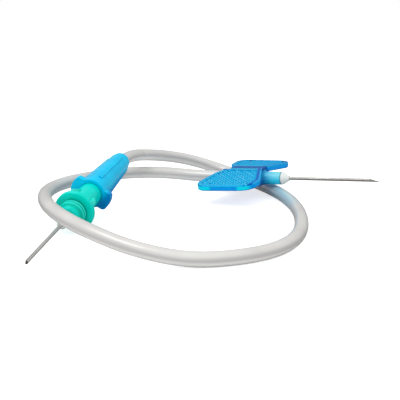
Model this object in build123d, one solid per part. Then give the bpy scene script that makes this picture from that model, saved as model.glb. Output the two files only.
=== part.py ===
"""Winged blood collection set: patient needle, folding wings, tube, luer socket and luer adapter.

Millimetres, +Z up, with the table at Z = 0. The patient needle points along +X and a little upwards.
The origin is on the table, under the middle of everything but the tube.
The wings lie open, and the tube runs in one loop from the wings' sleeve to the luer socket.
"""

from build123d import *
import os
from math import atan2, cos, degrees, hypot, pi, radians, sin, tan

# Clearances
glue_gap = 0.02
running_gap = 0.03
fold_gap = 0.06

# Both steel needles: a primary bevel and two lancet bevels
cannula_diameter = 0.64
cannula_bore = 0.34
primary_bevel = 13.5
lancet_bevel = 21.0
lancet_turn = 32.0

# Tube, and how far it is bonded into the sleeve and into the luer socket
tube_diameter = 2.5
tube_bore = 1.4
sleeve_insertion = 4.5
luer_insertion = 3.2

# Winged end: where its sleeve ends, how it tips up and how it rolls towards the front wing
set_position = (5.324, 24.243, 4.329)
set_pitch = 3.7
set_roll = 2.3

# Hub, with places along the sleeve's axis from its front end
patient_needle_reach = 18.9
nose_length = 1.6
nose_tip_diameter = 1.0
collar_length = 0.4
collar_diameter = 2.5
shank_length = 6.2
shank_diameter = 1.9
needle_grip = 4.0
funnel_diameter = 1.3

# Sleeve and the saddle on its back
sleeve_length = 12.95
sleeve_front_diameter = 2.6
sleeve_neck_diameter = 2.8
sleeve_rear_diameter = 3.5
sleeve_step = 5.0
sleeve_step_length = 1.2
saddle_half_width = 1.5
saddle_height = 2.2
web_thickness = 0.4

# Wings, seen from above: places along the sleeve and distances from its axis
wing_thickness = 1.2
wing_droop = 5.3
wing_root_rear = -10.8
wing_root_front = -3.8
wing_corners = [(-12.8, 3.0), (-14.1, 9.9), (-14.05, 13.0), (-2.4, 12.0), (-1.7, 8.3)]
wing_corner_radii = [5.0, 4.0, 2.2, 3.2, 2.5]
wing_border = 0.9
wing_edge_round = 0.2
root_relief_foot = 0.5
root_relief_head = 0.2

# Grip pattern of crossing V grooves, and the two ejector marks by the wing's outer edge
groove_pitch = 1.2
groove_depth = 0.24
groove_width = 1.0
pin_mark_places = [(-11.2, 11.2), (-3.4, 10.5)]
pin_mark_diameter = 0.6
pin_mark_depth = 0.35

# Luer end: the stopper needle's tip, and the way its axis climbs from there
luer_position = (-14.857, -36.797, cannula_diameter / 2)
luer_heading = 101.6
luer_pitch = 9.28
luer_roll = 28.0
stopper_bevel_turn = 150.0

# Lengths along the luer end, from the stopper needle's tip
stopper_needle_reach = 15.05
needle_collar_length = 3.5
needle_collar_diameter = 1.8
needle_collar_slope = 0.5
boss_length = 2.8
boss_diameter = 4.2
boss_nose = 0.45
thread_depth = 0.3
thread_sink = 0.02
thread_pitch = 0.85
thread_turns = 2.3
thread_lead_in = 0.2
thread_root_share = 0.72
thread_crest_share = 0.22
flange_thickness = 1.2
flange_diameter = 7.3
flange_back_slope = 0.45
neck_length = 7.3
neck_diameter = 4.5
neck_rib_width = 0.7
neck_rib_length = 3.4
neck_rib_height = 0.95
neck_rib_shoulder = 1.2
neck_rib_turn = 45.0
adapter_grip = 10.0
adapter_channel = 1.7
edge_chamfer = 0.2
rib_root = 0.4

# Female luer: a 6 % taper, two lugs and a tapered barrel with grip ribs
luer_mouth_diameter = 4.3
luer_taper = 0.06
luer_depth = 8.2
male_taper_length = 7.2
socket_length = 18.4
socket_mouth_diameter = 5.6
socket_tail_diameter = 4.1
socket_collar_diameter = 3.7
socket_collar_length = 1.5
socket_end_round = 0.5
socket_rib_width = 0.7
socket_rib_height = 0.16
socket_rib_margin = 1.2
lug_span = 7.8
lug_width = 3.6
lug_thickness = 1.2
lug_corner_round = 0.8

# Route of the tube's middle line, between its straight ends out of the two sockets
sleeve_lead = 4.5
luer_lead = 3.2
bend_share = 0.45
tube_route = [
    (-20.9, 21.8, 3.9),
    (-27.8, 16.7, 4.1),
    (-31.8, 9.3, 4.1),
    (-32.5, 0.5, 4.5),
    (-29.8, -8.9, 5.1),
    (-24.4, -17.7, 5.8),
    (-17.4, -24.8, 5.8),
    (-8.8, -28.6, 4.6),
    (0.2, -29.0, 2.6),
    (8.5, -26.7, 1.25),
    (15.0, -21.9, 1.25),
    (18.9, -15.2, 1.25),
    (19.4, -6.6, 1.25),
    (16.8, 3.2, 1.25),
    (12.4, 13.3, 1.25),
    (6.3, 22.5, 1.25),
    (-0.9, 29.6, 1.25),
    (-8.0, 33.9, 1.8),
    (-14.9, 34.4, 3.5),
    (-20.4, 29.8, 5.8),
    (-23.8, 21.4, 7.6),
]

# Sizes worked out from the values above
cannula_radius = cannula_diameter / 2
cannula_seat_radius = cannula_radius + glue_gap
tube_radius = tube_diameter / 2
tube_seat_radius = tube_radius + glue_gap
shank_bore_radius = shank_diameter / 2 + glue_gap
root_length = wing_root_front - wing_root_rear
root_middle = (wing_root_front + wing_root_rear) / 2
wing_reach = max(across for along, across in wing_corners)
boss_start = stopper_needle_reach + needle_collar_length
flange_start = boss_start + boss_length
neck_start = flange_start + flange_thickness
mouth_start = neck_start + neck_length

winged_end = Pos(*set_position) * Rot(0, -set_pitch, 0)
rolled_winged_end = winged_end * Rot(set_roll, 0, 0)
luer_axis = Vector(
    cos(radians(luer_heading)) * cos(radians(luer_pitch)),
    sin(radians(luer_heading)) * cos(radians(luer_pitch)),
    sin(radians(luer_pitch)),
)
luer_side = Vector(sin(radians(luer_heading)), -cos(radians(luer_heading)), 0)
luer_end = Plane(origin=luer_position, x_dir=luer_side, z_dir=luer_axis).location
rolled_luer_end = luer_end * Rot(0, 0, luer_roll)


def turned(points, axis):
    """A solid of revolution from (place along the axis, radius) points."""
    if axis == Axis.X:
        outline = [(along, 0, radius) for along, radius in points]
    else:
        outline = [(radius, 0, along) for along, radius in points]
    return revolve(make_face(Polyline(*outline, close=True)), axis)


def hollow_needle(tail, tip):
    """A steel tube along X from tail to tip, with a primary bevel facing +Z and two lancet bevels."""
    wall = Circle(cannula_radius) - Circle(cannula_bore / 2)
    steel = Pos(tail, 0, 0) * extrude(Plane.YZ * wall, tip - tail)
    cutter_height = 4 * cannula_diameter
    cutter_length = 2 * cutter_height / tan(radians(primary_bevel))
    cutter = Pos(0, 0, cutter_height / 2) * Box(cutter_length, 2 * cutter_height, cutter_height)
    point = Pos(tip, 0, -cannula_radius)
    steel -= point * Rot(0, primary_bevel, 0) * cutter
    for side in (-1, 1):
        steel -= point * Rot(side * lancet_turn, 0, 0) * Rot(0, lancet_bevel, 0) * cutter
    return steel


def front_cannula():
    """The patient needle, with its bevel up."""
    return winged_end * hollow_needle(-needle_grip, nose_length + patient_needle_reach)


def front_hub():
    """Shank in the sleeve, a collar against the sleeve's end, and a cone down to the needle."""
    profile = [
        (-shank_length, funnel_diameter / 2),
        (-shank_length, shank_diameter / 2),
        (0, shank_diameter / 2),
        (0, collar_diameter / 2),
        (collar_length, collar_diameter / 2),
        (nose_length, nose_tip_diameter / 2),
        (nose_length, cannula_seat_radius),
        (-needle_grip, cannula_seat_radius),
    ]
    return winged_end * turned(profile, Axis.X)


def wing_sleeve():
    """Stepped sleeve, bored for the hub's shank and the tube, with the wings' saddle on its back."""
    body = turned(
        [
            (-sleeve_length, 0),
            (-sleeve_length, sleeve_rear_diameter / 2),
            (-sleeve_step, sleeve_rear_diameter / 2),
            (sleeve_step_length - sleeve_step, sleeve_neck_diameter / 2),
            (0, sleeve_front_diameter / 2),
            (0, 0),
        ],
        Axis.X,
    )
    saddle = Pos(root_middle, 0, saddle_height / 2) * Box(
        root_length, 2 * (saddle_half_width - web_thickness), saddle_height
    )
    web = Pos(root_middle, 0, saddle_height - web_thickness / 2) * Box(
        root_length, 2 * (saddle_half_width - fold_gap), web_thickness
    )
    tube_stop = sleeve_insertion - sleeve_length
    bore = turned(
        [
            (-sleeve_length, 0),
            (-sleeve_length, tube_seat_radius),
            (tube_stop, tube_seat_radius),
            (tube_stop, shank_bore_radius),
            (0, shank_bore_radius),
            (0, 0),
        ],
        Axis.X,
    )
    return rolled_winged_end * (body + saddle + web - bore)


def wing_outline():
    """The wing seen from above, with its root along the saddle's edge."""
    root_ends = [(wing_root_rear, saddle_half_width), (wing_root_front, saddle_half_width)]
    rim = FilletPolyline(root_ends[0], *wing_corners, root_ends[1], radius=wing_corner_radii)
    return make_face(rim.edges() + Line(*root_ends).edges())


def grip_grooves(outline):
    """Crossing V grooves over the wing's upper face, inside its smooth border."""
    patch = extrude(offset(outline, -wing_border), 2 * groove_depth, both=True)
    section = make_face(Polyline(
        (-groove_width / 2, 0), (groove_width / 2, 0), (0, -groove_depth), close=True
    ))
    groove = extrude(Plane.XZ * section, wing_reach, both=True)
    middle = outline.center()
    count = int(wing_reach / groove_pitch)
    grooves = [
        Pos(middle.X, middle.Y, 0) * Rot(0, 0, turn) * Pos(step * groove_pitch, 0, 0) * groove
        for turn in (-45, 45)
        for step in range(-count, count + 1)
    ]
    return (Part() + grooves) & patch


def root_relief():
    """What is cut from under the wing's root, up to the web, with a sloping end."""
    section = make_face(Polyline(
        (-root_relief_foot, -wing_thickness), (root_relief_foot, -wing_thickness),
        (root_relief_head, -web_thickness), (-root_relief_foot, -web_thickness), close=True
    ))
    return Pos(0, saddle_half_width, 0) * extrude(Plane.YZ * section, 2 * wing_reach, both=True)


def wing():
    """One wing along +Y, its upper face at Z = 0 and its fold at Y = saddle_half_width."""
    outline = wing_outline()
    plate = extrude(outline, -wing_thickness)
    uprights = plate.edges().filter_by(Axis.Z)
    rim_edges = [
        edge for edge in plate.edges()
        if edge.center().Y > saddle_half_width and edge not in uprights
    ]
    plate = fillet(rim_edges, wing_edge_round)
    shape = plate - root_relief() - grip_grooves(outline)
    for along, across in pin_mark_places:
        shape -= Pos(along, across, 0) * Cylinder(pin_mark_diameter / 2, 2 * pin_mark_depth)
    fold = Pos(root_middle, saddle_half_width, 0) * Box(
        2 * root_length, 2 * fold_gap, 4 * wing_thickness
    )
    return shape - fold


def placed_wing(side):
    """The wing on that side of the sleeve: -1 is the front one, 1 the rear one."""
    fold_line = Pos(0, saddle_half_width, saddle_height)
    shape = fold_line * Rot(-wing_droop, 0, 0) * Pos(0, -saddle_half_width, 0) * wing()
    if side < 0:
        shape = mirror(shape, Plane.XZ)
    return rolled_winged_end * shape


def route_points():
    """The tube's corners: out of the sleeve along its axis, round the loop, and into the luer socket."""
    start = winged_end * Pos(sleeve_insertion - sleeve_length, 0, 0)
    leave = winged_end * Pos(-sleeve_length - sleeve_lead, 0, 0)
    socket_end = mouth_start + socket_length
    arrive = luer_end * Pos(0, 0, socket_end + luer_lead)
    end = luer_end * Pos(0, 0, socket_end - luer_insertion)
    corners = [Vector(*point) for point in tube_route]
    return [start.position, leave.position, *corners, arrive.position, end.position]


def bend_radii(points):
    """For each corner, a share of its shorter run over the tangent of half its turn."""
    radii = []
    for before, corner, after in zip(points, points[1:], points[2:]):
        run_in = corner - before
        run_out = after - corner
        turn = radians(run_in.get_angle(run_out))
        radii.append(bend_share * min(run_in.length, run_out.length) / tan(turn / 2))
    return radii


def tube():
    """The tube's wall, swept along its straight runs and tangent bends."""
    points = route_points()
    radii = bend_radii(points)
    path = FilletPolyline(*points, radius=radii)
    section = Circle(tube_radius) - Circle(tube_bore / 2)
    shape = sweep(Plane(origin=path @ 0, z_dir=path % 0) * section, path=path)
    wall_area = pi * (tube_radius**2 - (tube_bore / 2) ** 2)
    print("bend radii", [round(radius, 1) for radius in radii])
    print("runs", [round((after - before).length, 1) for before, after in zip(points, points[1:])])
    print("tube length", round(path.length, 2), "volume", round(shape.volume, 2))
    print("wall area times length", round(wall_area * path.length, 2))
    return shape


def female_luer():
    """Barrel with a tapered socket at its mouth, two lugs, grip ribs and a bonded tube at its tail."""
    mouth = socket_mouth_diameter / 2
    tail = socket_tail_diameter / 2
    collar = socket_collar_diameter / 2
    shoulder = socket_length - socket_collar_length
    body = turned(
        [
            (0, 0),
            (0, mouth),
            (lug_thickness, mouth),
            (shoulder - edge_chamfer, tail),
            (shoulder, tail - edge_chamfer / 2),
            (shoulder, collar),
            (socket_length - socket_end_round, collar),
            (socket_length - socket_end_round / 3, collar - socket_end_round / 3),
            (socket_length, collar - socket_end_round),
            (socket_length, 0),
        ],
        Axis.Z,
    )
    lugs = Pos(0, 0, lug_thickness / 2) * (
        Cylinder(lug_span / 2, lug_thickness) & Box(lug_span, lug_width, lug_thickness)
    )
    lugs = fillet(lugs.edges().filter_by(Axis.Z), lug_corner_round)
    narrowing = mouth - tail
    taper_run = shoulder - lug_thickness
    rib_length = hypot(narrowing, taper_run) - 2 * socket_rib_margin
    rib = Box(socket_rib_width, 2 * socket_rib_height, rib_length)
    rib_place = Pos(0, (mouth + tail) / 2, (shoulder + lug_thickness) / 2)
    rib_slope = Rot(degrees(atan2(narrowing, taper_run)), 0, 0)
    shape = body + lugs
    for quarter in range(4):
        shape += Rot(0, 0, quarter * 90) * rib_place * rib_slope * rib
    bottom = luer_mouth_diameter / 2 - luer_taper * luer_depth / 2
    tube_stop = socket_length - luer_insertion
    bore = turned(
        [
            (0, 0),
            (0, luer_mouth_diameter / 2),
            (luer_depth, bottom),
            (luer_depth, tube_bore / 2),
            (tube_stop, tube_bore / 2),
            (tube_stop, tube_seat_radius),
            (socket_length, tube_seat_radius),
            (socket_length, 0),
        ],
        Axis.Z,
    )
    return rolled_luer_end * Pos(0, 0, mouth_start) * (shape - bore)


def luer_adapter():
    """Threaded boss, flange, ribbed neck and male taper, bored for the needle and the flow."""
    boss = boss_diameter / 2
    flange = flange_diameter / 2
    neck = neck_diameter / 2
    taper_mouth = luer_mouth_diameter / 2 - running_gap
    taper_end = taper_mouth - luer_taper * male_taper_length / 2
    adapter_end = mouth_start + male_taper_length
    body = turned(
        [
            (boss_start, 0),
            (boss_start, boss - boss_nose),
            (boss_start + boss_nose, boss),
            (flange_start, boss),
            (flange_start, flange - edge_chamfer),
            (flange_start + edge_chamfer, flange),
            (neck_start - flange_back_slope, flange),
            (neck_start, flange - flange_back_slope),
            (neck_start, neck),
            (mouth_start - edge_chamfer, taper_mouth),
            (adapter_end - edge_chamfer, taper_end),
            (adapter_end, taper_end - edge_chamfer),
            (adapter_end, 0),
        ],
        Axis.Z,
    )
    rib_section = make_face(Polyline(
        (neck - rib_root, neck_start - edge_chamfer),
        (neck + neck_rib_height, neck_start - edge_chamfer),
        (neck + neck_rib_height, neck_start + neck_rib_shoulder),
        (neck - rib_root, neck_start + neck_rib_length),
        close=True,
    ))
    rib = extrude(Plane.XZ * rib_section, neck_rib_width / 2, both=True)
    for quarter in range(4):
        body += Rot(0, 0, neck_rib_turn + quarter * 90) * rib
    needle_stop = stopper_needle_reach + adapter_grip
    bore = turned(
        [
            (boss_start, 0),
            (boss_start, cannula_seat_radius),
            (needle_stop, cannula_seat_radius),
            (needle_stop, adapter_channel / 2),
            (adapter_end, adapter_channel / 2),
            (adapter_end, 0),
        ],
        Axis.Z,
    )
    return rolled_luer_end * (body + boss_thread() - bore)


def boss_thread():
    """A helical ridge of tapering section round the boss."""
    root = boss_diameter / 2 - thread_sink
    crest = boss_diameter / 2 + thread_depth
    half_root = thread_root_share * thread_pitch / 2
    half_crest = thread_crest_share * thread_pitch / 2
    start = boss_start + boss_nose + thread_lead_in
    ridge_path = Pos(0, 0, start) * Helix(thread_pitch, thread_pitch * thread_turns, root)
    section = make_face(Polyline(
        (root, 0, start - half_root),
        (crest, 0, start - half_crest),
        (crest, 0, start + half_crest),
        (root, 0, start + half_root),
        close=True,
    ))
    return sweep(section, path=ridge_path, is_frenet=True)


def needle_collar():
    """Off-white collar round the stopper needle's root, seated on the boss."""
    radius = needle_collar_diameter / 2
    start = stopper_needle_reach
    profile = [
        (start, cannula_seat_radius),
        (start, radius - needle_collar_slope),
        (start + needle_collar_slope, radius),
        (boss_start, radius),
        (boss_start, cannula_seat_radius),
    ]
    return luer_end * turned(profile, Axis.Z)


def rear_cannula():
    """The stopper needle, with its bevel turned about its axis."""
    needle = hollow_needle(-stopper_needle_reach - adapter_grip, 0)
    return luer_end * Rot(0, 0, stopper_bevel_turn) * Rot(0, 90, 0) * needle


def main():
    os.makedirs("parts", exist_ok=True)
    pieces = {
        "front_cannula": front_cannula(),
        "front_hub": front_hub(),
        "wing_sleeve": wing_sleeve(),
        "wing_front": placed_wing(-1),
        "wing_rear": placed_wing(1),
        "tube": tube(),
        "female_luer": female_luer(),
        "luer_adapter": luer_adapter(),
        "needle_collar": needle_collar(),
        "rear_cannula": rear_cannula(),
    }
    for name, shape in pieces.items():
        export_step(shape, f"parts/{name}.step")


main()
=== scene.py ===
from math import cos, pi, radians, sin, sqrt, tan

import bmesh
import bpy
from mathutils import Euler, Matrix, Vector


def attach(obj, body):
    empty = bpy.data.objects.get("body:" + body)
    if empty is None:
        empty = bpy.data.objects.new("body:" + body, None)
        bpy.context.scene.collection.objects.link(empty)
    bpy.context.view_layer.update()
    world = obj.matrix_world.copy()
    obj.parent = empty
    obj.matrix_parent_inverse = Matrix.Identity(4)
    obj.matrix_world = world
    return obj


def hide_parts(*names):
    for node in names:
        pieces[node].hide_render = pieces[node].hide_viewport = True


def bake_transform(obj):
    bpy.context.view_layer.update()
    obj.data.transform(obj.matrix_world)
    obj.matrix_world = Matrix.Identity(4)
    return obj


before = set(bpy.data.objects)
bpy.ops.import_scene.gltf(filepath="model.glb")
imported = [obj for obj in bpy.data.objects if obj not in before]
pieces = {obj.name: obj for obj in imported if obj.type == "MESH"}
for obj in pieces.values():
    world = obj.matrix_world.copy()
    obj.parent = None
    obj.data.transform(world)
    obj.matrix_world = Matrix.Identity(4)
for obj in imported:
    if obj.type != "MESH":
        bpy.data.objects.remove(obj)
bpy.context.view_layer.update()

MM = 0.001

# Winged end: the front end of its sleeve, its pitch and roll, its saddle and its wings' roots
SET_POSITION = Vector((5.324, 24.243, 4.329)) * MM
SET_PITCH = radians(3.7)
SET_ROLL = radians(2.3)
SADDLE_HALF_WIDTH = 1.5 * MM
SADDLE_HEIGHT = 2.2 * MM
WEB_THICKNESS = 0.4 * MM
WING_DROOP = radians(5.3)
WING_ROOT = (-10.8 * MM, -3.8 * MM)

# A wing's outline, in millimetres: places along the sleeve and distances from its axis
WING_CORNERS = [
    (-10.8, 1.5), (-12.8, 3.0), (-14.1, 9.9), (-14.05, 13.0), (-2.4, 12.0), (-1.7, 8.3), (-3.8, 1.5),
]

# Grip pattern: its smooth borders, the pitch and middle of its fine hatch, and the ejector marks
WING_BORDER = 0.85 * MM
HATCH_BORDER = 0.42 * MM
HATCH_PITCH = 0.6 * MM
HATCH_MIDDLE = (-8.019, 7.265)
PIN_MARKS = [(-11.2, 11.2), (-3.4, 10.5)]

# Webs at the wings' roots: how far they reach to each side of the fold, and their divisions
WEB_REACH = 0.36 * MM
WEB_LIFT = 0.012 * MM
WEB_INSET = 0.04 * MM
WEB_STEPS = 12
WEB_COLUMNS = 10

# Luer end: the stopper needle's tip, the way its axis climbs from there, and lengths along it
LUER_POSITION = Vector((-14.857, -36.797, 0.32)) * MM
LUER_HEADING = radians(101.6)
LUER_PITCH = radians(9.28)
SOCKET_END = 48.25 * MM
BOSS_START = 18.55 * MM
FLANGE_START = 21.35 * MM
FLANGE_END = 22.55 * MM
BOSS_RADIUS = 2.1 * MM
THREAD_RADIUS = 2.4 * MM
NECK_RADIUS = 2.25 * MM

# Fins of the neck: their section is a list of radii and lengths along the axis, in millimetres
FIN_TURN = radians(28.0 + 45.0)
FIN_HALF_WIDTH = 0.36 * MM
FIN_SECTION = [(1.9, 22.5), (3.3, 22.5), (3.25, 24.2), (2.1, 26.9)]
FIN_EDGE_ROUND = 0.12 * MM

# Tube: its ends in the two sockets, and its middle line's corners between them, in millimetres
TUBE_DIAMETER = 2.5 * MM
SLEEVE_END = -12.95 * MM
SLEEVE_INSERTION = 4.5 * MM
SLEEVE_LEAD = 4.5 * MM
LUER_INSERTION = 3.2 * MM
LUER_LEAD = 3.2 * MM
TUBE_ROUTE = [
    (-20.9, 21.8, 3.9),
    (-27.8, 16.7, 4.1),
    (-31.8, 9.3, 4.1),
    (-32.5, 0.5, 4.5),
    (-29.8, -8.9, 5.1),
    (-24.4, -17.7, 5.8),
    (-17.4, -24.8, 5.8),
    (-8.8, -28.6, 4.6),
    (0.2, -29.0, 2.6),
    (8.5, -26.7, 1.25),
    (15.0, -21.9, 1.25),
    (18.9, -15.2, 1.25),
    (19.4, -6.6, 1.25),
    (16.8, 3.2, 1.25),
    (12.4, 13.3, 1.25),
    (6.3, 22.5, 1.25),
    (-0.9, 29.6, 1.25),
    (-8.0, 33.9, 1.8),
    (-14.9, 34.4, 3.5),
    (-20.4, 29.8, 5.8),
    (-23.8, 21.4, 7.6),
]

# Where light through the winged end tints the tube below it
BLUE_CAST_MIDDLE = Vector((8.5, 19.5, 1.25)) * MM
BLUE_CAST_REACH = 12.0 * MM

# Camera: the photograph's own angle and perspective
CAMERA_POSITION = Vector((62.64, -138.76, 39.67)) * MM
CAMERA_AZIMUTH = radians(25.0)
CAMERA_ELEVATION = radians(13.08)
CAMERA_LENS = 76.5
CAMERA_SENSOR = 36.0
CAMERA_CLIP = 5.0 * MM

# Floor and surroundings: how bright they are as light, in reflections and to the camera
FLOOR_SIDE = 3.0
FLOOR_AS_LIGHT = 0.58
FLOOR_IN_GLOSS = 0.3
FLOOR_TO_CAMERA = 0.8
FLOOR_GLOW = 0.64
WORLD_AS_LIGHT = 0.86
WORLD_IN_GLOSS = 0.44
WORLD_TO_CAMERA = 1.0

# Area lights: name, place, width and height, and energy in watts
AREA_LIGHTS = [
    ("key", (-0.12, -0.22, 0.42), (0.26, 0.2), 0.62),
    ("fill", (0.1, -0.42, 0.14), (0.3, 0.24), 0.2),
]

winged_rotation = Euler((SET_ROLL, -SET_PITCH, 0.0))
winged_end = Matrix.Translation(SET_POSITION) @ Euler((0.0, -SET_PITCH, 0.0)).to_matrix().to_4x4()
rolled_winged_end = Matrix.Translation(SET_POSITION) @ winged_rotation.to_matrix().to_4x4()
luer_axis = Vector((
    cos(LUER_HEADING) * cos(LUER_PITCH),
    sin(LUER_HEADING) * cos(LUER_PITCH),
    sin(LUER_PITCH),
))
luer_side = Vector((sin(LUER_HEADING), -cos(LUER_HEADING), 0.0))
luer_rotation = Matrix((luer_side, luer_axis.cross(luer_side), luer_axis)).transposed().to_euler()


def srgb(red, green, blue):
    """A linear colour from 0-255 display values."""
    def linear(value):
        share = value / 255
        return share / 12.92 if share <= 0.04045 else ((share + 0.055) / 1.055) ** 2.4
    return (linear(red), linear(green), linear(blue), 1.0)


def grey(share):
    return (share, share, share, 1.0)


class Nodes:
    """A short way to build a material's node tree."""

    def __init__(self, name):
        self.material = bpy.data.materials.new(name)
        self.material.use_nodes = True
        self.tree = self.material.node_tree
        self.tree.nodes.clear()
        self.output = self.tree.nodes.new("ShaderNodeOutputMaterial")

    def add(self, kind, inputs=None, **settings):
        node = self.tree.nodes.new(kind)
        for key, value in settings.items():
            setattr(node, key, value)
        for key, value in (inputs or {}).items():
            self.feed(node, key, value)
        return node

    def feed(self, node, key, value):
        socket = node.inputs[key]
        if isinstance(value, bpy.types.NodeSocket):
            self.tree.links.new(value, socket)
        else:
            socket.default_value = value

    def math(self, operation, *values):
        node = self.add("ShaderNodeMath", operation=operation)
        for index, value in enumerate(values):
            self.feed(node, index, value)
        return node.outputs[0]

    def times(self, first, second):
        return self.math("MULTIPLY", first, second)

    def mix(self, share, first, second):
        node = self.add("ShaderNodeMix", data_type="RGBA")
        self.feed(node, 0, share)
        self.feed(node, 6, first)
        self.feed(node, 7, second)
        return node.outputs[2]

    def ramp(self, value, low, high, to_low=0.0, to_high=1.0):
        """The value's place between low and high, smoothly, as to_low to to_high."""
        node = self.add("ShaderNodeMapRange", interpolation_type="SMOOTHSTEP")
        for index, each in enumerate((value, low, high, to_low, to_high)):
            self.feed(node, index, each)
        return node.outputs[0]

    def noise(self, vector, scale, detail=3.0, roughness=0.5):
        node = self.add("ShaderNodeTexNoise", {
            "Vector": vector, "Scale": scale, "Detail": detail, "Roughness": roughness,
        })
        return node.outputs[0]

    def place(self):
        return self.add("ShaderNodeTexCoord").outputs["Object"]

    def local(self, location, rotation):
        """Coordinates in a turned and moved frame, as X, Y and Z."""
        node = self.add("ShaderNodeMapping", {
            "Vector": self.place(), "Location": location, "Rotation": rotation,
        }, vector_type="TEXTURE")
        return self.axes(node.outputs[0])

    def axes(self, vector):
        return self.add("ShaderNodeSeparateXYZ", {"Vector": vector}).outputs[:3]

    def distance(self, first, second):
        node = self.add("ShaderNodeVectorMath", {0: first, 1: second}, operation="DISTANCE")
        return node.outputs["Value"]

    def bump(self, height, strength, distance, normal=None):
        node = self.add("ShaderNodeBump", {
            "Height": height, "Strength": strength, "Distance": distance,
        })
        if normal is not None:
            self.feed(node, "Normal", normal)
        return node.outputs[0]

    def crevice(self, distance):
        """1 in the open, falling towards 0 in grooves and corners."""
        node = self.add("ShaderNodeAmbientOcclusion", {"Distance": distance}, samples=8)
        return node.outputs["AO"]

    def principled(self, **inputs):
        names = {key.replace("_", " "): value for key, value in inputs.items()}
        node = self.add("ShaderNodeBsdfPrincipled", names)
        self.tree.links.new(node.outputs[0], self.output.inputs[0])
        return node


def grain(nodes, strength=0.12):
    """Fine moulded grain with a few larger flow marks, as a bump normal."""
    place = nodes.place()
    fine = nodes.noise(place, 6000.0, 2.0)
    flow = nodes.noise(place, 500.0, 2.0)
    first = nodes.bump(fine, strength, 0.002 * MM)
    return nodes.bump(flow, strength, 0.02 * MM, first)


def edge_reach(nodes, along, across, start, end):
    """How far inside one straight side of the wing's outline a point lies."""
    edge = (end - start).normalized()
    inward = Vector((edge.y, -edge.x))
    sum_of_both = nodes.math(
        "ADD", nodes.times(along, inward.x), nodes.times(across, inward.y)
    )
    return nodes.math("SUBTRACT", sum_of_both, inward.dot(start))


def hatch_height(nodes, along, across):
    """The fine hatch of the grip patch: 0 on its crossing lines, 1 in the middle of each diamond."""
    middle = Vector(HATCH_MIDDLE) * MM
    heights = []
    for turn in (1.0, -1.0):
        diagonal = nodes.math("ADD", along, nodes.times(across, turn))
        diagonal = nodes.math("SUBTRACT", diagonal, middle.x + turn * middle.y)
        steps = nodes.math("DIVIDE", diagonal, HATCH_PITCH * sqrt(2.0) / 2)
        heights.append(nodes.math("PINGPONG", steps, 1.0))
    return nodes.math("MINIMUM", *heights)


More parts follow.
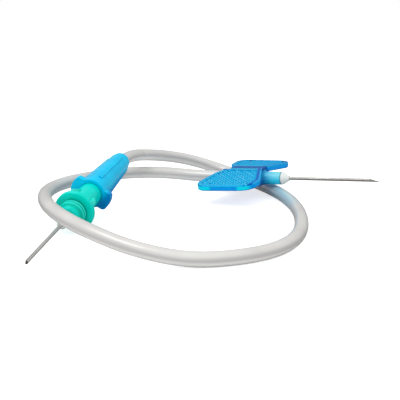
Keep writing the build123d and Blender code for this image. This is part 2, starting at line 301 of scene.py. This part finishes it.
def wing_material(name, side, hatch_share):
    """Soft translucent blue, deep along the front edge, with painted light and shade on the hatch and
    rim.
    """
    nodes = Nodes(name)
    along, across, up = nodes.local(SET_POSITION, winged_rotation)
    across = nodes.times(across, float(side))
    corners = [Vector(corner) * MM for corner in WING_CORNERS]
    reaches = [
        edge_reach(nodes, along, across, start, end) for start, end in zip(corners, corners[1:])
    ]
    front_edge = nodes.math("MINIMUM", reaches[-2], reaches[-1])
    other_edge = reaches[0]
    for reach in reaches[1:-2]:
        other_edge = nodes.math("MINIMUM", other_edge, reach)
    inside = nodes.math("MINIMUM", front_edge, other_edge)
    half_blur = 0.1 * MM
    patch = nodes.times(
        nodes.ramp(front_edge, WING_BORDER - half_blur, WING_BORDER + half_blur),
        nodes.ramp(other_edge, HATCH_BORDER - half_blur, HATCH_BORDER + half_blur),
    )
    front_band = nodes.ramp(front_edge, WING_BORDER + half_blur, WING_BORDER - half_blur)
    # Painted highlight: a lighter band just inside the wing's outline, along its rim.
    rim = nodes.ramp(inside, 0.3 * MM, 0.12 * MM)
    slope = nodes.times(nodes.math("SUBTRACT", across, SADDLE_HALF_WIDTH), tan(WING_DROOP))
    depth = nodes.math("SUBTRACT", nodes.math("SUBTRACT", SADDLE_HEIGHT, slope), up)
    wall = nodes.ramp(depth, 0.26 * MM, 0.36 * MM)
    hatch = hatch_height(nodes, along, across)
    painted_groove_shade = nodes.ramp(depth, 0.02 * MM, 0.2 * MM)
    cloud = nodes.noise(nodes.place(), 450.0, 4.0)
    painted_glint_speck = nodes.ramp(nodes.noise(nodes.place(), 1500.0, 1.0), 0.55, 0.72)
    field = nodes.mix(nodes.ramp(cloud, 0.35, 0.7), srgb(0, 172, 222), srgb(12, 184, 229))
    # Painted shade: the top turns darker towards the bottom of the hatch grooves.
    field = nodes.mix(nodes.times(painted_groove_shade, 0.55), field, srgb(0, 140, 210))
    # Painted highlight: the middle of each hatch diamond is lighter, with whiter painted glints picked
    # by a fine noise.
    light = nodes.times(nodes.ramp(hatch, 0.35, 0.85), hatch_share)
    field = nodes.mix(light, field, nodes.mix(painted_glint_speck, srgb(60, 210, 242), srgb(150, 238, 250)))
    # Painted shade along the hatch's crossing lines.
    dark = nodes.times(nodes.ramp(hatch, 0.3, 0.0), hatch_share * 0.8)
    field = nodes.mix(dark, field, srgb(0, 128, 196))
    border = nodes.mix(cloud, srgb(0, 144, 214), srgb(0, 162, 226))
    border = nodes.mix(front_band, border, srgb(0, 104, 196))
    border = nodes.mix(nodes.times(rim, 0.8), border, srgb(40, 190, 240))
    top = nodes.mix(patch, border, field)
    # Painted shade: a wing with a weaker hatch share, the rear one, is painted darker overall.
    top = nodes.mix(0.3 * (1.0 - hatch_share), top, srgb(0, 112, 184))
    for mark in PIN_MARKS:
        level = nodes.add("ShaderNodeCombineXYZ", {0: along, 1: across}).outputs[0]
        away = nodes.distance(level, (mark[0] * MM, mark[1] * MM, 0.0))
        top = nodes.mix(nodes.ramp(away, 0.42 * MM, 0.26 * MM), top, srgb(0, 62, 118))
    # Painted light: the flank glows bright cyan towards the wing's outer ends.
    far_rear = nodes.ramp(along, -10.2 * MM, -11.2 * MM)
    far_front = nodes.ramp(along, -5.6 * MM, -4.6 * MM)
    outer = nodes.ramp(across, 10.6 * MM, 11.6 * MM)
    lit_end = nodes.times(outer, nodes.math("MAXIMUM", far_rear, far_front))
    flank = nodes.mix(nodes.ramp(cloud, 0.3, 0.7), srgb(0, 146, 240), srgb(0, 164, 248))
    flank = nodes.mix(lit_end, flank, srgb(0, 226, 250))
    flank = nodes.mix(nodes.ramp(depth, 0.9 * MM, 1.15 * MM), flank, srgb(0, 124, 210))
    colour = nodes.mix(wall, top, flank)
    relief = nodes.times(nodes.times(hatch, patch), hatch_share)
    nodes.principled(
        Base_Color=colour,
        Roughness=nodes.ramp(cloud, 0.2, 0.8, 0.34, 0.46),
        Specular_IOR_Level=0.07,
        Subsurface_Weight=0.15,
        Subsurface_Radius=(0.3, 0.9, 1.0),
        Subsurface_Scale=0.3 * MM,
        Normal=nodes.bump(relief, 0.7, 0.07 * MM, grain(nodes)),
    )
    return nodes.material


def sleeve_material():
    """Clear cyan sleeve, painted lighter on top, with painted shade: deeper blue under the wings, dark
    blue on the saddle.
    """
    nodes = Nodes("sleeve soft cyan plastic")
    along, across, up = nodes.local(SET_POSITION, winged_rotation)
    cloud = nodes.noise(nodes.place(), 500.0, 4.0)
    front = nodes.ramp(along, -4.4 * MM, -1.2 * MM)
    # Painted light and shade: the sleeve is lighter on top and darker below.
    high = nodes.ramp(up, -0.5 * MM, 1.0 * MM)
    light = nodes.mix(high, srgb(48, 216, 252), srgb(122, 216, 234))
    # Painted shade: the sleeve under the wings is a deeper blue.
    deep = nodes.mix(high, srgb(0, 122, 206), srgb(14, 176, 226))
    deep = nodes.mix(nodes.times(cloud, 0.4), deep, srgb(0, 122, 196))
    colour = nodes.mix(front, deep, light)
    # Painted shade: a dark blue band on the saddle between the wings.
    saddle = nodes.ramp(up, 1.45 * MM, 1.75 * MM)
    colour = nodes.mix(saddle, colour, nodes.mix(cloud, srgb(0, 82, 160), srgb(0, 98, 178)))
    end_line = nodes.ramp(along, -0.22 * MM, -0.05 * MM)
    colour = nodes.mix(end_line, colour, srgb(60, 132, 148))
    nodes.principled(
        Base_Color=colour,
        Roughness=nodes.ramp(cloud, 0.2, 0.8, 0.2, 0.32),
        Specular_IOR_Level=nodes.ramp(saddle, 0.0, 1.0, 0.3, 0.03),
        Subsurface_Weight=0.2,
        Subsurface_Radius=(0.4, 1.0, 1.0),
        Subsurface_Scale=0.4 * MM,
        Normal=grain(nodes),
    )
    return nodes.material


def moulded_material(name, dark, light, roughness, gloss, detail=None):
    """Glossy translucent moulding with painted shade in its corners and faint flow marks.

    Detail is a function that lays its own painted light and shade over the body's colour.
    """
    nodes = Nodes(name)
    cloud = nodes.noise(nodes.place(), 350.0, 4.0, 0.55)
    # Painted shade: the body darkens towards the dark colour in corners and recesses.
    open_share = nodes.ramp(nodes.crevice(1.2 * MM), 0.1, 0.8)
    flow = tuple(0.86 * a + 0.14 * b for a, b in zip(light, dark))
    body = nodes.mix(nodes.ramp(cloud, 0.3, 0.7), light, flow)
    if detail is not None:
        body = detail(nodes, body)
    colour = nodes.mix(open_share, dark, body)
    nodes.principled(
        Base_Color=colour,
        Roughness=nodes.ramp(cloud, 0.2, 0.8, *roughness),
        Specular_IOR_Level=gloss,
        Subsurface_Weight=0.15,
        Subsurface_Radius=(0.4, 1.0, 1.0),
        Subsurface_Scale=0.4 * MM,
        Normal=grain(nodes),
    )
    return nodes.material


def luer_painted_shade(nodes, body):
    """Painted shade: deeper blue along the socket's lower right side."""
    right, down = nodes.local(LUER_POSITION, luer_rotation)[:2]
    lower = nodes.ramp(nodes.math("ADD", right, down), 2.1 * MM, 4.0 * MM)
    return nodes.mix(nodes.times(lower, 0.8), body, srgb(0, 112, 200))


def adapter_painted_light_and_shade(nodes, body):
    """Painted highlights on the thread crests over painted shade in the roots on the boss, and painted
    highlights on the neck's fins.
    """
    x, y, along = nodes.local(LUER_POSITION, luer_rotation)
    radius = nodes.math("SQRT", nodes.math("ADD", nodes.times(x, x), nodes.times(y, y)))
    on_boss = nodes.ramp(along, FLANGE_START, FLANGE_START - 0.1 * MM)
    off_nose = nodes.ramp(along, BOSS_START + 0.3 * MM, BOSS_START + 0.5 * MM)
    # Painted shade in the thread roots.
    low = nodes.ramp(radius, THREAD_RADIUS - 0.06 * MM, BOSS_RADIUS + 0.03 * MM)
    root = nodes.times(nodes.times(on_boss, off_nose), low)
    body = nodes.mix(nodes.times(root, 0.75), body, srgb(0, 188, 162))
    # Painted highlight on the thread crests.
    painted_crest_highlight = nodes.times(on_boss, nodes.ramp(
        radius, THREAD_RADIUS - 0.08 * MM, THREAD_RADIUS - 0.02 * MM
    ))
    body = nodes.mix(nodes.times(painted_crest_highlight, 0.6), body, srgb(70, 240, 222))
    # Painted highlight on the neck's fins.
    past_flange = nodes.ramp(along, FLANGE_END, FLANGE_END + 0.1 * MM)
    painted_fin_highlight = nodes.times(past_flange, nodes.ramp(
        radius, NECK_RADIUS + 0.15 * MM, NECK_RADIUS + 0.45 * MM
    ))
    return nodes.mix(nodes.times(painted_fin_highlight, 0.6), body, srgb(70, 240, 222))


def steel_material(name, low, high, painted_tip_shade=False):
    """Drawn and polished steel with fine lines, with painted shade in its bore and, if asked, at its
    bevel.
    """
    nodes = Nodes(name)
    lines = nodes.noise(nodes.place(), 5200.0, 2.0)
    smear = nodes.noise(nodes.place(), 900.0, 3.0)
    colour = nodes.mix(smear, low, high)
    # Painted shade inside the bore.
    inside = nodes.ramp(nodes.crevice(0.4 * MM), 0.45, 0.15)
    colour = nodes.mix(inside, colour, srgb(44, 42, 40))
    # Painted shade at the bevel of the tip.
    if painted_tip_shade:
        along = nodes.local(LUER_POSITION, luer_rotation)[2]
        colour = nodes.mix(nodes.ramp(along, 1.15 * MM, 0.75 * MM), colour, srgb(96, 93, 90))
    nodes.principled(
        Base_Color=colour,
        Metallic=1.0,
        Roughness=nodes.ramp(lines, 0.3, 0.7, 0.3, 0.4),
        Normal=nodes.bump(lines, 0.06, 0.002 * MM),
    )
    return nodes.material


def tube_material():
    """Frosted flexible tube: milky, with painted shade along its side where the bore shows, painted
    light below where its far wall lights up, and painted bluish light under the winged end.
    """
    nodes = Nodes("frosted clear tube")
    place = nodes.place()
    cloud = nodes.noise(place, 90.0, 3.0, 0.5)
    colour = nodes.mix(nodes.ramp(cloud, 0.3, 0.7), srgb(212, 210, 207), srgb(227, 226, 222))
    facing_up = nodes.axes(nodes.add("ShaderNodeNewGeometry").outputs["Normal"])[2]
    # Painted shade: greyer along the tube's sides, where its normal turns from up to level.
    colour = nodes.mix(nodes.ramp(facing_up, 0.6, 0.15), colour, srgb(199, 197, 195))
    # Painted light: the underside is lighter, as if lit through the far wall.
    colour = nodes.mix(nodes.ramp(facing_up, 0.0, -0.5), colour, srgb(254, 253, 251))
    # Painted light: a bluish tint where light through the winged end falls on the tube.
    away = nodes.distance(place, BLUE_CAST_MIDDLE)
    blue_cast = nodes.ramp(away, BLUE_CAST_REACH, 0.3 * BLUE_CAST_REACH)
    colour = nodes.mix(nodes.times(blue_cast, 0.7), colour, srgb(176, 218, 232))
    nodes.principled(
        Base_Color=colour,
        Roughness=0.28,
        IOR=1.45,
        Coat_Weight=1.0,
        Coat_Roughness=nodes.ramp(cloud, 0.2, 0.8, 0.26, 0.34),
        Coat_IOR=1.65,
        Normal=nodes.bump(nodes.noise(place, 260.0, 0.0), 0.1, 0.02 * MM),
    )
    return nodes.material


def floor_material():
    """Plain white floor that keeps a soft shadow and is greyer as light and in reflections."""
    nodes = Nodes("white floor")
    path = nodes.add("ShaderNodeLightPath")
    seen = nodes.math("MAXIMUM", path.outputs["Is Camera Ray"], path.outputs["Is Transmission Ray"])
    mirrored = nodes.mix(path.outputs["Is Glossy Ray"], grey(FLOOR_AS_LIGHT), grey(FLOOR_IN_GLOSS))
    shown = nodes.mix(path.outputs["Is Camera Ray"], mirrored, grey(FLOOR_TO_CAMERA))
    diffuse = nodes.add("ShaderNodeBsdfDiffuse", {"Color": shown})
    glow = nodes.add("ShaderNodeEmission", {
        "Color": grey(1.0), "Strength": nodes.times(seen, FLOOR_GLOW),
    })
    both = nodes.add("ShaderNodeAddShader")
    nodes.tree.links.new(diffuse.outputs[0], both.inputs[0])
    nodes.tree.links.new(glow.outputs[0], both.inputs[1])
    nodes.tree.links.new(both.outputs[0], nodes.output.inputs[0])
    return nodes.material


def paint(piece, material):
    piece.data.materials.clear()
    piece.data.materials.append(material)


def add_object(name, data):
    piece = bpy.data.objects.new(name, data)
    bpy.context.collection.objects.link(piece)
    return piece


def mesh_object(name, mesh, material):
    """A painted object from a bmesh, which is freed."""
    data = bpy.data.meshes.new(name)
    mesh.to_mesh(data)
    mesh.free()
    piece = add_object(name, data)
    paint(piece, material)
    return piece


def tube_points():
    """The tube's middle line, from inside the sleeve to inside the luer socket."""
    out_of_sleeve = [
        winged_end @ Vector((SLEEVE_END + SLEEVE_INSERTION, 0.0, 0.0)),
        winged_end @ Vector((SLEEVE_END - SLEEVE_LEAD, 0.0, 0.0)),
    ]
    into_luer = [
        LUER_POSITION + luer_axis * (SOCKET_END + LUER_LEAD),
        LUER_POSITION + luer_axis * (SOCKET_END - LUER_INSERTION),
    ]
    return out_of_sleeve + [Vector(point) * MM for point in TUBE_ROUTE] + into_luer


def make_tube():
    points = tube_points()
    curve = bpy.data.curves.new("tube", "CURVE")
    curve.dimensions = "3D"
    curve.resolution_u = 12
    curve.bevel_depth = TUBE_DIAMETER / 2
    curve.bevel_resolution = 8
    curve.use_fill_caps = True
    spline = curve.splines.new("NURBS")
    spline.points.add(len(points) - 1)
    for knot, point in zip(spline.points, points):
        knot.co = (*point, 1.0)
    spline.order_u = 3
    spline.use_endpoint_u = True
    tube = add_object("frosted_tube", curve)
    paint(tube, tube_material())
    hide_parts("tube")
    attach(tube, "set")


def make_web(side, body, material):
    """The thin root that joins a wing to the saddle, bent to the wing's droop."""
    rows = []
    for step in range(WEB_STEPS + 1):
        reach = WEB_REACH * (2 * step / WEB_STEPS - 1)
        tilt = WING_DROOP if reach > 0 else 0.0
        top = Vector((
            SADDLE_HALF_WIDTH + reach * cos(tilt), SADDLE_HEIGHT - reach * sin(tilt) + WEB_LIFT
        ))
        down = Vector((-sin(tilt), -cos(tilt))) * (WEB_THICKNESS + 2 * WEB_LIFT)
        rows.append((top, top + down))
    mesh = bmesh.new()
    ends = (WING_ROOT[0] + WEB_INSET, WING_ROOT[1] - WEB_INSET)
    grid = []
    for column in range(WEB_COLUMNS + 1):
        along = ends[0] + (ends[1] - ends[0]) * column / WEB_COLUMNS
        ring = [(along, side * top.x, top.y) for top, low in rows]
        ring += [(along, side * low.x, low.y) for top, low in reversed(rows)]
        grid.append([mesh.verts.new(rolled_winged_end @ Vector(point)) for point in ring])
    for first, second in zip(grid, grid[1:]):
        for index in range(len(first)):
            following = (index + 1) % len(first)
            mesh.faces.new((first[index], first[following], second[following], second[index]))
    mesh.faces.new(grid[0])
    mesh.faces.new(grid[-1])
    bmesh.ops.recalc_face_normals(mesh, faces=mesh.faces)
    web = mesh_object(f"{body}_web", mesh, material)
    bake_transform(web)


def make_fins(material):
    """The four fins of the adapter's neck, from the flange to where they run out."""
    mesh = bmesh.new()
    downward = luer_axis.cross(luer_side)
    for quarter in range(4):
        turn = FIN_TURN + quarter * pi / 2
        out = luer_side * cos(turn) + downward * sin(turn)
        across = luer_axis.cross(out) * FIN_HALF_WIDTH
        middle = [
            LUER_POSITION + (out * radius + luer_axis * along) * MM for radius, along in FIN_SECTION
        ]
        sides = [[mesh.verts.new(point + across * side) for point in middle] for side in (-1, 1)]
        mesh.faces.new(sides[0])
        mesh.faces.new(sides[1])
        for index in range(len(middle)):
            following = (index + 1) % len(middle)
            mesh.faces.new((
                sides[0][index], sides[0][following], sides[1][following], sides[1][index]
            ))
    bmesh.ops.recalc_face_normals(mesh, faces=mesh.faces)
    bmesh.ops.bevel(mesh, geom=mesh.edges[:], offset=FIN_EDGE_ROUND, segments=2, affect="EDGES")
    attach(mesh_object("neck_fins", mesh, material), "adapter")


def make_floor():
    data = bpy.data.meshes.new("floor")
    signs = [(-1, -1), (1, -1), (1, 1), (-1, 1)]
    data.from_pydata([(x * FLOOR_SIDE, y * FLOOR_SIDE, 0.0) for x, y in signs], [], [(0, 1, 2, 3)])
    floor = add_object("floor", data)
    paint(floor, floor_material())


def make_world():
    """White to the camera and through clear parts, softer as light, and grey in reflections."""
    world = bpy.data.worlds.new("studio")
    bpy.context.scene.world = world
    world.use_nodes = True
    tree = world.node_tree
    tree.nodes.clear()
    output = tree.nodes.new("ShaderNodeOutputWorld")
    background = tree.nodes.new("ShaderNodeBackground")
    path = tree.nodes.new("ShaderNodeLightPath")
    seen = tree.nodes.new("ShaderNodeMath")
    seen.operation = "MAXIMUM"
    tree.links.new(path.outputs["Is Camera Ray"], seen.inputs[0])
    tree.links.new(path.outputs["Is Transmission Ray"], seen.inputs[1])
    by_sight = tree.nodes.new("ShaderNodeMapRange")
    by_sight.inputs["To Min"].default_value = WORLD_AS_LIGHT
    by_sight.inputs["To Max"].default_value = WORLD_TO_CAMERA
    tree.links.new(seen.outputs[0], by_sight.inputs["Value"])
    by_gloss = tree.nodes.new("ShaderNodeMapRange")
    by_gloss.inputs["To Max"].default_value = WORLD_IN_GLOSS
    tree.links.new(path.outputs["Is Glossy Ray"], by_gloss.inputs["Value"])
    tree.links.new(by_sight.outputs[0], by_gloss.inputs["To Min"])
    tree.links.new(by_gloss.outputs[0], background.inputs["Strength"])
    tree.links.new(background.outputs[0], output.inputs["Surface"])
    background.inputs["Color"].default_value = grey(1.0)


def make_light(name, place, size, energy):
    """A soft rectangular light, aimed at the frame's origin."""
    data = bpy.data.lights.new(name, "AREA")
    data.shape = "RECTANGLE"
    data.size = size[0]
    data.size_y = size[1]
    data.energy = energy
    light = add_object(name, data)
    light.location = place
    light.rotation_euler = (-Vector(place)).to_track_quat("-Z", "Y").to_euler()


def make_camera():
    data = bpy.data.cameras.new("camera")
    data.lens = CAMERA_LENS
    data.sensor_width = CAMERA_SENSOR
    data.clip_start = CAMERA_CLIP
    camera = add_object("camera", data)
    camera.location = CAMERA_POSITION
    camera.rotation_euler = (pi / 2 - CAMERA_ELEVATION, 0.0, CAMERA_AZIMUTH)
    bpy.context.scene.camera = camera


off_white = moulded_material(
    "off-white plastic", srgb(150, 148, 138), srgb(238, 243, 242), (0.34, 0.48), 0.25
)
paint(pieces["front_cannula"], steel_material(
    "patient needle steel", srgb(182, 178, 173), srgb(210, 207, 203)
))
paint(pieces["rear_cannula"], steel_material(
    "stopper needle steel", srgb(226, 223, 218), srgb(250, 248, 244), painted_tip_shade=True
))
paint(pieces["front_hub"], off_white)
paint(pieces["needle_collar"], off_white)
sleeve = sleeve_material()
paint(pieces["wing_sleeve"], sleeve)
front_wing = wing_material("front wing soft blue plastic", -1, 1.0)
# The rear wing's copy: weaker painted hatch light and shade, and painted darker overall as shade.
rear_wing = wing_material("rear wing soft blue plastic", 1, 0.35)
paint(pieces["wing_front"], front_wing)
paint(pieces["wing_rear"], rear_wing)
paint(pieces["female_luer"], moulded_material(
    "luer blue plastic", srgb(0, 96, 176), srgb(0, 206, 250), (0.18, 0.28), 0.12, luer_painted_shade
))
green = moulded_material(
    "adapter green plastic", srgb(0, 140, 104), srgb(0, 230, 214), (0.22, 0.34), 0.12, adapter_painted_light_and_shade
)
paint(pieces["luer_adapter"], green)
make_fins(green)
make_tube()
make_web(-1, "front_wing", front_wing)
make_web(1, "rear_wing", rear_wing)

make_floor()
make_world()
for light in AREA_LIGHTS:
    make_light(*light)
make_camera()
bpy.context.scene.view_settings.view_transform = "Standard"
